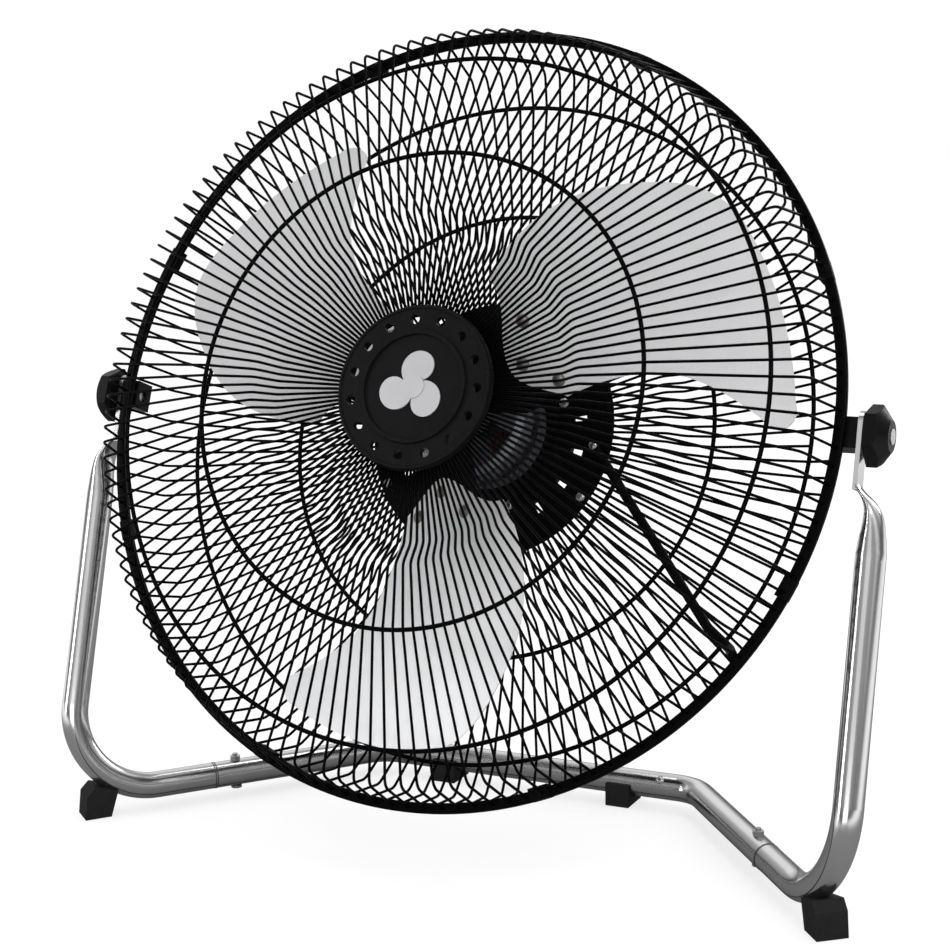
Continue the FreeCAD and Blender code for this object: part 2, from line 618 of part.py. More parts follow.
def rivets():
    heads = []
    for radius, angle in rivet_spots:
        lead = size["lead_at_axis"] + size["lead_growth"] * radius
        back = size["blade_mid_y"] - lead * math.radians(angle - size["blade_mid_angle"])
        ball = Part.makeSphere(size["rivet_radius"])
        ball.translate(polar(radius, angle, back + 2.4))
        heads.append(ball.cut([blade, spider_arm]))
    return Part.makeCompound([solid for cut in heads for solid in cut.Solids])


rivet_set = rivets()
hub = Part.makeCylinder(size["hub_radius"], 19, V(0, -12, 0), V(0, 1, 0))
hub_bore = Part.makeCylinder(size["shaft_radius"], 40, V(0, -20, 0), V(0, 1, 0))
arms = []
for number in range(3):
    turn = Placement(V(0, 0, 0), Rotation(V(0, 1, 0), 120 * number))
    keep_shape("blade_%d" % (number + 1), blade, head * turn)
    keep_shape("rivets_%d" % (number + 1), rivet_set, head * turn)
    piece = spider_arm.copy()
    piece.Placement = turn
    arms.append(piece)
keep_shape("spider", hub.fuse(arms).cut(hub_bore), head)

# ---- knobs ----
for side, name in ((-1, "left"), (1, "right")):
    face = size["tongue_x"] + size["tongue_thick"] + size["face_gap"]
    turn = Rotation(V(0, 1, 0), 90 * side)

    def beyond(out):
        """A place on the pivot's line, that far out from the tongue."""
        return Placement(V(side * (face + out), size["pivot_back"], 0), turn)
    grip = primitive("Prism", "knob_grip_" + name, beyond(size["knob_boss_length"]),
                     Circumradius="knob_radius", Height="knob_grip + knob_nose")
    cone = primitive("Cone", "knob_cone_" + name, beyond(size["knob_boss_length"] - 6),
                     Radius1="knob_radius + 17", Radius2="knob_radius - 10",
                     Height="knob_grip + knob_nose + 6")
    shaped = boolean("MultiCommon", "knob_shape_" + name, grip, [cone])
    boss = primitive("Cylinder", "knob_boss_" + name, beyond(0), Radius="knob_boss",
                     Height="knob_boss_length + 1")
    body = boolean("MultiFuse", "knob_body_" + name, shaped, [boss])
    hole = primitive("Cylinder", "knob_hole_" + name, beyond(-1), Radius="stud_radius + running_gap",
                     Height="knob_boss_length + knob_grip + 4")
    keep("knob_" + name, boolean("Cut", "knob_cut_" + name, body, [hole]), head)
    insert = primitive("Cylinder", "knob_insert_disc_" + name, None, Radius="5", Height="0.8")
    nose_end = size["knob_boss_length"] + size["knob_grip"] + size["knob_nose"]
    keep("knob_insert_" + name, insert, head * beyond(nose_end))

turned("speed_knob", [
    ("plate_front + plate_thick + cover_depth + 0.3", "0"),
    ("plate_front + plate_thick + cover_depth + 0.3", "13"),
    ("plate_front + plate_thick + cover_depth + 4", "12"),
    ("plate_front + plate_thick + cover_depth + 14", "11"),
    ("plate_front + plate_thick + cover_depth + 15", "10"),
    ("plate_front + plate_thick + cover_depth + 15", "0")], head)

# ---- check and write ----
doc.recompute()
failed = [item.Label for item in doc.Objects if "Invalid" in item.State or "Error" in item.State]
broken = [label for label, item in nodes.items()
          if item.Shape.isNull() or not item.Shape.isValid() or not item.Shape.Solids]
if failed or broken:
    raise RuntimeError("failed objects %s, bad shapes %s" % (failed, broken))
os.makedirs("parts", exist_ok=True)
for label, item in nodes.items():
    item.Shape.exportStep("parts/" + label + ".step")
box = Part.makeCompound([item.Shape for item in nodes.values()]).BoundBox
print(len(nodes), "nodes", box)
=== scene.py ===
import json
import math

import bmesh
import bpy
from mathutils import Matrix, Vector


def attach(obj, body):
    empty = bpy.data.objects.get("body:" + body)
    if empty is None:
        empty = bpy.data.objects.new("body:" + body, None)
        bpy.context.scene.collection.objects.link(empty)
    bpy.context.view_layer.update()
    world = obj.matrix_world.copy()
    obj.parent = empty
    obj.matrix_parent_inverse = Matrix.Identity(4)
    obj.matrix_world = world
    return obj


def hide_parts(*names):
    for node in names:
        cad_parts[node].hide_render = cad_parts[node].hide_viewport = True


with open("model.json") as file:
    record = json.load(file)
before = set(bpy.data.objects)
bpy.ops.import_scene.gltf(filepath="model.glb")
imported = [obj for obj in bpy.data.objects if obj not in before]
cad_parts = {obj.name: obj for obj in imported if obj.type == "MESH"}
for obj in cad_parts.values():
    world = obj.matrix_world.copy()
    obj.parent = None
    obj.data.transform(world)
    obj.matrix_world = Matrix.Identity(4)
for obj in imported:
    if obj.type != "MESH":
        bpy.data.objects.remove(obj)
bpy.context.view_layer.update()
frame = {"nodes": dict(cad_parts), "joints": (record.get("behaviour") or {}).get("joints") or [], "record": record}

# A tilting high-velocity floor fan. Metres throughout; the floor is Z = 0 and the fan blows towards -Y.
MM = 0.001
joints = {joint["name"]: joint for joint in frame["joints"]}
pivot = Vector(joints["head_tilt"]["pos_m"])
fan_front = Vector(joints["fan_spin"]["axis"]).normalized()
rim_middle = Vector(joints["fan_spin"]["pos_m"])

# The head's own frame: x to the right, a back along the fan's axis from the rim's mid-plane, u up.
head_back = -fan_front
head_up = Vector((1, 0, 0)).cross(head_back)
HEAD = Matrix.Translation(rim_middle) @ Matrix((
    (1, head_back.x, head_up.x, 0),
    (0, head_back.y, head_up.y, 0),
    (0, head_back.z, head_up.z, 0),
    (0, 0, 0, 1)))
TAU = 2 * math.pi


# ---------------------------------------------------------------- mesh tools
def piece_from(name, verts, faces, body, material, smooth=True, matrix=None, replaces=()):
    """Make one mesh piece, give it its material and let it ride on its body."""
    mesh = bpy.data.meshes.new(name)
    mesh.from_pydata([tuple(v) for v in verts], [], [tuple(f) for f in faces])
    mesh.update()
    if matrix is not None:
        mesh.transform(matrix)
    mesh.validate()
    for polygon in mesh.polygons:
        polygon.use_smooth = smooth
    piece = bpy.data.objects.new(name, mesh)
    bpy.context.scene.collection.objects.link(piece)
    piece.data.materials.append(material)
    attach(piece, body)
    if replaces:
        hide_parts(*replaces)
    return piece


def bevelled(piece, width, segments=3, angle=30):
    """Round the sharp edges, and keep the flats flat."""
    bevel = piece.modifiers.new("edge", "BEVEL")
    bevel.width = width
    bevel.segments = segments
    bevel.limit_method = "ANGLE"
    bevel.angle_limit = math.radians(angle)
    level = piece.modifiers.new("flats", "WEIGHTED_NORMAL")
    level.weight = 100
    level.keep_sharp = True
    return piece


def rounded(points, radius, steps=6):
    """A polyline in any dimension whose inner corners are rounded off."""
    path = [Vector(points[0])]
    for before, corner, after in zip(points, points[1:], points[2:]):
        before, corner, after = Vector(before), Vector(corner), Vector(after)
        back, ahead = before - corner, after - corner
        half = back.angle(ahead) / 2
        reach = min(radius / math.tan(half), 0.45 * back.length, 0.45 * ahead.length)
        first = corner + back.normalized() * reach
        last = corner + ahead.normalized() * reach
        for step in range(steps + 1):
            share = step / steps
            path.append((1 - share) ** 2 * first + 2 * share * (1 - share) * corner + share ** 2 * last)
    path.append(Vector(points[-1]))
    return path


def arc_path(points, radius, steps=24):
    """Straight runs joined by true arcs."""
    path = [Vector(points[0])]
    for before, corner, after in zip(points, points[1:], points[2:]):
        before, corner, after = Vector(before), Vector(corner), Vector(after)
        back, ahead = (before - corner).normalized(), (after - corner).normalized()
        half = back.angle(ahead) / 2
        middle = corner + (back + ahead).normalized() * (radius / math.sin(half))
        first = corner + back * (radius / math.tan(half)) - middle
        sweep = math.pi - 2 * half
        turn_axis = first.cross(corner + ahead * (radius / math.tan(half)) - middle).normalized()
        for step in range(steps + 1):
            path.append(middle + Matrix.Rotation(sweep * step / steps, 3, turn_axis) @ first)
    path.append(Vector(points[-1]))
    return path


def subdivided(path, longest):
    """Split long runs so that no step is longer than given."""
    dense = [path[0]]
    for first, last in zip(path, path[1:]):
        count = max(1, math.ceil((last - first).length / longest))
        dense.extend(first.lerp(last, step / count) for step in range(1, count + 1))
    return dense


def directions(path):
    """The way the path runs at each of its points."""
    ways = []
    for index in range(len(path)):
        first = path[max(index - 1, 0)]
        last = path[min(index + 1, len(path) - 1)]
        ways.append((last - first).normalized())
    return ways


def swept(path, side, half_sizes, sides=32, capped=True, start_index=0):
    """Vertices and faces of an oval swept along a path.

    half_sizes gives the half widths (along side, across it), once for all stations or as a list.
    """
    verts, faces = [], []
    for index, (middle, way) in enumerate(zip(path, directions(path))):
        across = (side - way * side.dot(way)).normalized()
        other = way.cross(across)
        wide, thin = half_sizes[index] if isinstance(half_sizes, list) else half_sizes
        for step in range(sides):
            turn = TAU * step / sides
            verts.append(middle + across * (wide * math.cos(turn)) + other * (thin * math.sin(turn)))
    count = len(path)
    for index in range(count - 1):
        for step in range(sides):
            a = start_index + index * sides + step
            b = start_index + index * sides + (step + 1) % sides
            faces.append((a, b, b + sides, a + sides))
    if capped:
        faces.append(tuple(start_index + step for step in reversed(range(sides))))
        faces.append(tuple(start_index + (count - 1) * sides + step for step in range(sides)))
    return verts, faces


def lathe(profile, steps=96):
    """Turn a profile of (back, radius) pairs, in metres, round the head's axis."""
    verts, faces = [], []
    count = len(profile)
    for step in range(steps):
        turn = TAU * step / steps
        for back, out in profile:
            verts.append((out * math.cos(turn), back, out * math.sin(turn)))
    for step in range(steps):
        here, there = step * count, ((step + 1) % steps) * count
        for index in range(count):
            following = (index + 1) % count
            faces.append((here + index, here + following, there + following, there + index))
    return verts, faces


def softened(profile, radius, steps=3):
    """Round the corners of a closed (back, radius) profile, given in mm; the result is in metres."""
    count = len(profile)
    result = []
    for index in range(count):
        before = Vector(profile[index - 1])
        corner = Vector(profile[index])
        after = Vector(profile[(index + 1) % count])
        back, ahead = before - corner, after - corner
        reach = min(radius, 0.4 * back.length, 0.4 * ahead.length)
        first = corner + back.normalized() * reach
        last = corner + ahead.normalized() * reach
        for step in range(steps + 1):
            share = step / steps
            spot = (1 - share) ** 2 * first + 2 * share * (1 - share) * corner + share ** 2 * last
            result.append((spot.x * MM, max(spot.y, 0.0) * MM))
    return result


# ---------------------------------------------------------------- materials
def surface(name, color, metallic=0.0, rough=0.4, rough_spread=0.08, grain=120.0, shade=0.12, bump=0.0,
            bump_grain=800.0, stretch=(1.0, 1.0, 1.0), specular=0.5):
    """A procedural finish: colour and roughness vary with a coarse noise, and a fine noise gives the bump."""
    material = bpy.data.materials.new(name)
    material.use_nodes = True
    nodes, links = material.node_tree.nodes, material.node_tree.links
    shader = nodes["Principled BSDF"]
    shader.inputs["Metallic"].default_value = metallic
    shader.inputs["Specular IOR Level"].default_value = specular
    place = nodes.new("ShaderNodeTexCoord")
    scale = nodes.new("ShaderNodeMapping")
    scale.inputs["Scale"].default_value = stretch
    links.new(place.outputs["Object"], scale.inputs["Vector"])
    coarse = nodes.new("ShaderNodeTexNoise")
    coarse.inputs["Scale"].default_value = grain
    coarse.inputs["Detail"].default_value = 4.0
    links.new(scale.outputs["Vector"], coarse.inputs["Vector"])
    mix = nodes.new("ShaderNodeMix")
    mix.data_type = "RGBA"
    mix.inputs["A"].default_value = (*[channel * (1 - shade) for channel in color], 1)
    mix.inputs["B"].default_value = (*[min(channel * (1 + shade), 1) for channel in color], 1)
    links.new(coarse.outputs["Fac"], mix.inputs["Factor"])
    links.new(mix.outputs["Result"], shader.inputs["Base Color"])
    spread = nodes.new("ShaderNodeMapRange")
    spread.inputs["To Min"].default_value = max(rough - rough_spread, 0.02)
    spread.inputs["To Max"].default_value = rough + rough_spread
    links.new(coarse.outputs["Fac"], spread.inputs["Value"])
    links.new(spread.outputs["Result"], shader.inputs["Roughness"])
    if bump:
        fine = nodes.new("ShaderNodeTexNoise")
        fine.inputs["Scale"].default_value = bump_grain
        fine.inputs["Detail"].default_value = 3.0
        links.new(scale.outputs["Vector"], fine.inputs["Vector"])
        raised = nodes.new("ShaderNodeBump")
        raised.inputs["Strength"].default_value = bump
        raised.inputs["Distance"].default_value = 0.0004
        links.new(fine.outputs["Fac"], raised.inputs["Height"])
        links.new(raised.outputs["Normal"], shader.inputs["Normal"])
    return material


chrome = surface("chrome_finish", (0.76, 0.76, 0.77), 1.0, 0.17, 0.05, grain=26, shade=0.05, bump=0.03,
                 bump_grain=500, stretch=(1.0, 1.0, 0.35))
wire_black = surface("wire_black", (0.0014, 0.0014, 0.0016), 0.0, 0.34, 0.06, grain=300, shade=0.3, bump=0.04,
                     specular=0.03)
plastic_black = surface("plastic_black", (0.0038, 0.0038, 0.0042), 0.0, 0.33, 0.07, grain=90, shade=0.25,
                        bump=0.08, bump_grain=2600, specular=0.09)
metal_black = surface("metal_black", (0.0022, 0.0022, 0.0022), 0.0, 0.42, 0.08, grain=60, shade=0.25,
                      bump=0.06, specular=0.03)
rubber_black = surface("rubber_black", (0.009, 0.009, 0.010), 0.0, 0.62, 0.1, grain=150, shade=0.35, bump=0.3,
                       bump_grain=1800, specular=0.18)
blade_satin = surface("blade_satin", (0.66, 0.66, 0.67), 0.30, 0.32, 0.08, grain=26, shade=0.05, bump=0.015,
                      bump_grain=60)
cast_grey = surface("cast_grey", (0.26, 0.27, 0.30), 0.85, 0.42, 0.1, grain=80, shade=0.2, bump=0.4,
                    bump_grain=700)
steel = surface("steel_finish", (0.55, 0.55, 0.56), 1.0, 0.28, 0.08, grain=100, shade=0.08, bump=0.05)
rivet_grey = surface("rivet_grey", (0.23, 0.21, 0.19), 0.9, 0.38, 0.1, grain=200, shade=0.25, bump=0.2)
silver = surface("silver_finish", (0.52, 0.52, 0.53), 0.7, 0.38, 0.06, grain=60, shade=0.05, bump=0.05)
copper = surface("copper_finish", (0.50, 0.19, 0.08), 1.0, 0.32, 0.1, grain=300, shade=0.25, bump=0.2)
grey_plastic = surface("grey_plastic", (0.10, 0.10, 0.105), 0.0, 0.5, 0.08, grain=90, shade=0.15, bump=0.2)
# one dark finish: the real dark of the tube seams and joint rings, and painted shade on the arm dimples
seam_dark_and_dent_shade = surface("seam_dark_and_dent_shade", (0.05, 0.05, 0.05), 0.6, 0.5, 0.1, grain=200, shade=0.2, bump=0.1)

NODE_FINISH = {
    "chrome_tube": chrome, "steel": steel, "rubber": rubber_black, "black_wire": wire_black,
    "black_plastic": plastic_black, "silver": silver, "black_metal": metal_black, "motor_metal": cast_grey,
    "copper": copper, "grey_plastic": grey_plastic, "blade_metal": blade_satin}
for part in frame["record"]["subparts"]:
    node = frame["nodes"][part["node"]]
    node.data.materials.clear()
    is_rivet = part["node"].startswith("rivets")
    node.data.materials.append(rivet_grey if is_rivet else NODE_FINISH[part["material_slot"]])


# ---------------------------------------------------------------- camera, floor and light
def aim(camera, place, target, roll):
    """Stand the camera at a place, looking at the target, rolled by some degrees."""
    way = (target - place).normalized()
    rolled = Matrix.Rotation(math.radians(roll), 3, "Z").to_quaternion()
    camera.location = place
    camera.rotation_mode = "QUATERNION"
    camera.rotation_quaternion = way.to_track_quat("-Z", "Y") @ rolled


camera_data = bpy.data.cameras.new("camera")
camera_data.lens = 77.03
camera_data.sensor_width = 36
camera_data.clip_end = 50
camera = bpy.data.objects.new("camera", camera_data)
bpy.context.scene.collection.objects.link(camera)
bpy.context.scene.camera = camera
CAMERA_PLACE = Vector((0.6005, pivot.y - 1.1998, 0.5052))
CAMERA_TARGET = Vector((0.0090, pivot.y, 0.2584))
aim(camera, CAMERA_PLACE, CAMERA_TARGET, -1.24)


def lamp(name, place, target, width, height, power, tint=(1, 1, 1)):
    data = bpy.data.lights.new(name, "AREA")
    data.shape = "RECTANGLE"
    data.size, data.size_y = width, height
    data.energy = power
    data.color = tint
    light = bpy.data.objects.new(name, data)
    light.location = place
    light.rotation_euler = (Vector(target) - Vector(place)).to_track_quat("-Z", "Y").to_euler()
    bpy.context.scene.collection.objects.link(light)
    return light


lamp("key_light", (1.9, -1.6, 2.2), (0, 0, 0.3), 0.9, 0.9, 26)
lamp("fill_light", (-2.2, -1.8, 1.0), (0, 0, 0.3), 0.5, 1.8, 17)
lamp("top_light", (0, 0.3, 2.6), (0, 0, 0.2), 1.6, 1.2, 14)
lamp("front_light", (0.2, -2.6, 0.35), (0, 0, 0.3), 1.4, 0.5, 5)
lamp("back_light", (0.9, 2.4, 1.2), (0, 0, 0.3), 0.5, 1.6, 14)


def studio_world():
    """White where it is seen and where it lights; in reflections a white horizon with grey panels between."""
    world = bpy.data.worlds.new("studio")
    bpy.context.scene.world = world
    world.use_nodes = True
    nodes, links = world.node_tree.nodes, world.node_tree.links
    output = nodes["World Output"]
    plain = nodes["Background"]
    plain.inputs["Color"].default_value = (1, 1, 1, 1)
    plain.inputs["Strength"].default_value = 1.06
    place = nodes.new("ShaderNodeTexCoord")
    parts = nodes.new("ShaderNodeSeparateXYZ")
    links.new(place.outputs["Generated"], parts.inputs["Vector"])
    height = nodes.new("ShaderNodeMapRange")
    height.inputs["From Min"].default_value = -1.0
    links.new(parts.outputs["Z"], height.inputs["Value"])
    bands = nodes.new("ShaderNodeValToRGB")
    bands.color_ramp.interpolation = "EASE"
    stops = [(0.0, 0.38), (0.46, 0.42), (0.50, 0.14), (0.545, 0.12), (0.60, 0.55), (0.72, 0.80), (0.86, 0.62),
             (1.0, 0.38)]
    ramp = bands.color_ramp
    ramp.elements[0].position, ramp.elements[0].color = stops[0][0], (stops[0][1],) * 3 + (1,)
    ramp.elements[1].position, ramp.elements[1].color = stops[-1][0], (stops[-1][1],) * 3 + (1,)
    for position, level in stops[1:-1]:
        ramp.elements.new(position).color = (level, level, level, 1)
    links.new(height.outputs["Result"], bands.inputs["Fac"])
    around = nodes.new("ShaderNodeTexGradient")
    around.gradient_type = "RADIAL"
    links.new(place.outputs["Generated"], around.inputs["Vector"])
    panels = nodes.new("ShaderNodeMath")
    panels.operation = "MULTIPLY"
    panels.inputs[1].default_value = 5 * TAU
    links.new(around.outputs["Fac"], panels.inputs[0])
    wave = nodes.new("ShaderNodeMath")
    wave.operation = "SINE"
    links.new(panels.outputs["Value"], wave.inputs[0])
    level = nodes.new("ShaderNodeMapRange")
    level.inputs["From Min"].default_value = -0.4
    level.inputs["From Max"].default_value = 0.6
    level.inputs["To Min"].default_value = 0.55
    level.inputs["To Max"].default_value = 1.15
    links.new(wave.outputs["Value"], level.inputs["Value"])
    mirrored = nodes.new("ShaderNodeBackground")
    links.new(bands.outputs["Color"], mirrored.inputs["Color"])
    links.new(level.outputs["Result"], mirrored.inputs["Strength"])
    ray = nodes.new("ShaderNodeLightPath")
    choose = nodes.new("ShaderNodeMixShader")
    links.new(ray.outputs["Is Glossy Ray"], choose.inputs["Fac"])
    links.new(plain.outputs["Background"], choose.inputs[1])
    links.new(mirrored.outputs["Background"], choose.inputs[2])
    links.new(choose.outputs["Shader"], output.inputs["Surface"])


studio_world()
bpy.context.scene.view_settings.view_transform = "Standard"
bpy.context.scene.view_settings.look = "None"

floor_mesh = bpy.data.meshes.new("floor")
reach = 60.0
floor_corners = [(-reach, -reach, 0), (reach, -reach, 0), (reach, reach, 0), (-reach, reach, 0)]
floor_mesh.from_pydata(floor_corners, [], [(0, 1, 2, 3)])
floor = bpy.data.objects.new("floor", floor_mesh)
bpy.context.scene.collection.objects.link(floor)
floor_finish = surface("floor_finish", (0.97, 0.97, 0.97), 0.0, 0.8, 0.05, grain=3, shade=0.005, specular=0.0)


def darker_in_reflections(material):
    """Chrome sees a grey floor between the feet and a pale one beyond.

    Seen directly, the floor is pale and its shadows are faint.
    """
    nodes, links = material.node_tree.nodes, material.node_tree.links
    shader = nodes["Principled BSDF"]
    place = nodes.new("ShaderNodeTexCoord")
    parts = nodes.new("ShaderNodeSeparateXYZ")
    links.new(place.outputs["Object"], parts.inputs["Vector"])
    away = nodes.new("ShaderNodeMath")
    away.operation = "ABSOLUTE"
    links.new(parts.outputs["X"], away.inputs[0])
    level = nodes.new("ShaderNodeMapRange")
    level.interpolation_type = "SMOOTHSTEP"
    level.inputs["From Min"].default_value = 0.45
    level.inputs["From Max"].default_value = 0.85
    level.inputs["To Min"].default_value = 0.17
    level.inputs["To Max"].default_value = 0.72
    links.new(away.outputs["Value"], level.inputs["Value"])
    dim = nodes.new("ShaderNodeBsdfDiffuse")
    links.new(level.outputs["Result"], dim.inputs["Color"])
    ray = nodes.new("ShaderNodeLightPath")
    share = nodes.new("ShaderNodeMath")
    share.operation = "MULTIPLY"
    share.inputs[1].default_value = 0.7
    links.new(ray.outputs["Is Camera Ray"], share.inputs[0])
    white = nodes.new("ShaderNodeEmission")
    white.inputs["Color"].default_value = (1, 1, 1, 1)
    white.inputs["Strength"].default_value = 1.0
    cover = nodes.new("ShaderNodeMixShader")
    links.new(share.outputs["Value"], cover.inputs["Fac"])
    links.new(shader.outputs["BSDF"], cover.inputs[1])
    links.new(white.outputs["Emission"], cover.inputs[2])
    choose = nodes.new("ShaderNodeMixShader")
    links.new(ray.outputs["Is Glossy Ray"], choose.inputs["Fac"])
    links.new(cover.outputs["Shader"], choose.inputs[1])
    links.new(dim.outputs["BSDF"], choose.inputs[2])
    links.new(choose.outputs["Shader"], nodes["Material Output"].inputs["Surface"])


darker_in_reflections(floor_finish)
floor.data.materials.append(floor_finish)


# ---------------------------------------------------------------- cage
WIRE_COUNT = 140
WIRE_RADIUS = 0.95
WIRE_BEND = 10.0
RING_RADIUS = 1.5
RIM_SEAT = 2.5
RIM_RADIUS = 265.0
RIM_THICK = 7.0
WIRE_RIM = RIM_RADIUS - RIM_THICK / 2
# (back from the rim's mid-plane, out from the axis)
FRONT_PROFILE = [(-56, 49), (-58.5, 101), (-68, 115), (-65.5, 156), (-44.6, 229), (-39, 251.5),
                 (-RIM_SEAT, WIRE_RIM)]
REAR_PROFILE = [(62 + WIRE_RADIUS, 80), (65, 126), (73, 137), (74.5, 157), (52.8, 230), (39.5, 251.5),
                (RIM_SEAT, WIRE_RIM)]


def ring_seat(profile, out, inward):
    """Where a ring of that radius just touches the wires from inside the cage."""
    touching = [(first, last) for first, last in zip(profile, profile[1:]) if first[1] <= out <= last[1]]
    (back, start), (next_back, end) = touching[0]
    wire_back = back + (next_back - back) * (out - start) / (end - start)
    steepest = max(abs(math.atan2(last[0] - first[0], last[1] - first[1])) for first, last in touching)
    return wire_back + inward * (WIRE_RADIUS + RING_RADIUS) / math.cos(steepest)


def wires(profile, short=(), sides=8):
    """All the radial wires of one guard as one mesh."""
    full = rounded(profile, WIRE_BEND, 6)
    stub = rounded(profile[:5], WIRE_BEND, 6)
    verts, faces = [], []
    for number in range(WIRE_COUNT):
        turn = TAU * number / WIRE_COUNT
        path = stub if number in short else full
        points = [Vector((out * math.cos(turn), back, out * math.sin(turn))) * MM for back, out in path]
        side = Vector((-math.sin(turn), 0, math.cos(turn)))
        thickness = (WIRE_RADIUS * MM, WIRE_RADIUS * MM)
        more_verts, more_faces = swept(points, side, thickness, sides, True, len(verts))
        verts += more_verts
        faces += more_faces
    return verts, faces


def ring_tube(back, out, radius, steps=240, sides=12):
    """A ring of round wire about the head's axis."""
    verts, faces = [], []
    for step in range(steps):
        turn = TAU * step / steps
        for corner in range(sides):
            swing = TAU * corner / sides
            far = (out + radius * math.cos(swing)) * MM
            verts.append((far * math.cos(turn), (back + radius * math.sin(swing)) * MM, far * math.sin(turn)))
    for step in range(steps):
        for corner in range(sides):
            a = step * sides + corner
            b = step * sides + (corner + 1) % sides
            c = ((step + 1) % steps) * sides + (corner + 1) % sides
            d = ((step + 1) % steps) * sides + corner
            faces.append((a, b, c, d))
    return verts, faces


def joined(parts):
    """Several (vertices, faces) pairs as one."""
    verts, faces = [], []
    for more_verts, more_faces in parts:
        start = len(verts)
        verts += [tuple(v) for v in more_verts]
        faces += [tuple(start + index for index in face) for face in more_faces]
    return verts, faces


def rings(profile, radii, inward):
    """The support rings of one guard, each resting on its wires."""
    return joined([ring_tube(ring_seat(profile, out, inward), out, RING_RADIUS) for out in radii])


FRONT_RINGS = (50, 156, 229)
REAR_RINGS = (157, 230)
SHORT_REAR_WIRES = (0, WIRE_COUNT // 2)
RIM_EDGE = 1.3
verts, faces = wires(FRONT_PROFILE)
piece_from("front_wires", verts, faces, "head", wire_black, matrix=HEAD,
           replaces=("front_guard",))
verts, faces = rings(FRONT_PROFILE, FRONT_RINGS, 1)
piece_from("front_rings", verts, faces, "head", wire_black, matrix=HEAD)
verts, faces = wires(REAR_PROFILE, SHORT_REAR_WIRES)
piece_from("rear_wires", verts, faces, "head", wire_black, matrix=HEAD,
           replaces=("rear_guard",))
verts, faces = rings(REAR_PROFILE, REAR_RINGS, -1)
piece_from("rear_rings", verts, faces, "head", wire_black, matrix=HEAD)
rim_inside = RIM_RADIUS - RIM_THICK
rim_profile = softened([(-RIM_SEAT, rim_inside), (-RIM_SEAT, RIM_RADIUS), (RIM_SEAT, RIM_RADIUS),
                        (RIM_SEAT, rim_inside)], RIM_EDGE)
verts, faces = lathe(rim_profile, 240)
piece_from("rim_band", verts, faces, "head", wire_black, matrix=HEAD, replaces=("guard_rim",))


# ---------------------------------------------------------------- carried-over parts with softened edges
SAME_PLACE = 1e-5
FLAT_WITHIN = 3.0
SHARP_ABOVE = 32


def refined(node, body, width, segments=3):
    """A copy of a CAD part's mesh with its triangles merged and its sharp edges rounded."""
    source = frame["nodes"][node]
    mesh = source.data.copy()
    mesh.name = node + "_rounded"
    form = bmesh.new()
    form.from_mesh(mesh)
    bmesh.ops.remove_doubles(form, verts=form.verts, dist=SAME_PLACE)
    bmesh.ops.dissolve_limit(form, angle_limit=math.radians(FLAT_WITHIN), verts=form.verts, edges=form.edges)
    form.to_mesh(mesh)
    form.free()
    for polygon in mesh.polygons:
        polygon.use_smooth = True
    piece = bpy.data.objects.new(node + "_rounded", mesh)
    bpy.context.scene.collection.objects.link(piece)
    slot = next(part["material_slot"] for part in frame["record"]["subparts"] if part["node"] == node)
    piece.data.materials.clear()
    piece.data.materials.append(NODE_FINISH[slot])
    bevelled(piece, width, segments, SHARP_ABOVE)
    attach(piece, body)
    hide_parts(node)
    return piece


for side in ("left", "right"):
    refined("front_foot_" + side, "stand", 1.6 * MM)
    refined("rear_foot_" + side, "stand", 1.6 * MM)
    refined("pivot_bracket_" + side, "head", 1.2 * MM)
    refined("knob_" + side, "knob_%s_body" % side, 1.5 * MM, 4)
    refined("knob_insert_" + side, "knob_%s_body" % side, 0.25 * MM)
refined("badge_disc", "head", 0.4 * MM, 2)
refined("badge_emblem", "head", 0.35 * MM, 2)
refined("motor_plate", "head", 0.35 * MM, 2)
refined("motor_bell_front", "head", 0.6 * MM, 2)
refined("spider", "fan", 0.5 * MM, 2)
refined("rear_cover", "head", 0.8 * MM, 3)


# ---------------------------------------------------------------- small parts
def disc_parts(radius, height, sides, top=1.0, dome=0.0, rows=4, phase=0.0):
    """A round or hexagonal head standing along +Z, with an optional dome."""
    verts, faces = [], []
    levels = [(0.0, 1.0), (height * 0.75, 1.0), (height, top)]
    if dome:
        for row in range(1, rows):
            swing = math.pi / 2 * row / rows
            levels.append((height + dome * math.sin(swing), top * math.cos(swing)))
    for up, share in levels:
        for step in range(sides):
            turn = TAU * step / sides + phase
            verts.append((radius * share * math.cos(turn), radius * share * math.sin(turn), up))
    for row in range(len(levels) - 1):
        for step in range(sides):
            a, b = row * sides + step, row * sides + (step + 1) % sides
            faces.append((a, b, b + sides, a + sides))
    faces.append(tuple(reversed(range(sides))))
    faces.append(tuple(range((len(levels) - 1) * sides, len(levels) * sides)))
    return verts, faces


def placed(parts, place, axis):
    """Stand a part built along +Z on a place, along an axis."""
    turn = Vector(axis).to_track_quat("Z", "Y").to_matrix().to_4x4()
    matrix = Matrix.Translation(Vector(place)) @ turn
    verts, faces = parts
    return [matrix @ Vector(v) for v in verts], faces


def cross_screw(radius, height):
    """A domed screw head with two crossed bars on it, for the cross slot."""
    parts = [disc_parts(radius, height * 0.5, 20, 0.92, height * 0.5)]
    for turn in (0, math.pi / 2):
        long, thin = 0.55 * radius, 0.1 * radius
        bar = [(-long, -thin), (long, -thin), (long, thin), (-long, thin)]
        low, high = height * 0.82, height * 0.99
        verts = [(x * math.cos(turn) - y * math.sin(turn), x * math.sin(turn) + y * math.cos(turn), z)
                 for z in (low, high) for x, y in bar]
        faces = [(3, 2, 1, 0), (4, 5, 6, 7), (0, 1, 5, 4), (1, 2, 6, 5), (2, 3, 7, 6), (3, 0, 4, 7)]
        parts.append((verts, faces))
    return joined(parts)


def round_head(turn, out, back):
    """A point at that angle and radius about the head's axis, and that far back, in metres."""
    return Vector((out * math.cos(turn), back, out * math.sin(turn))) * MM


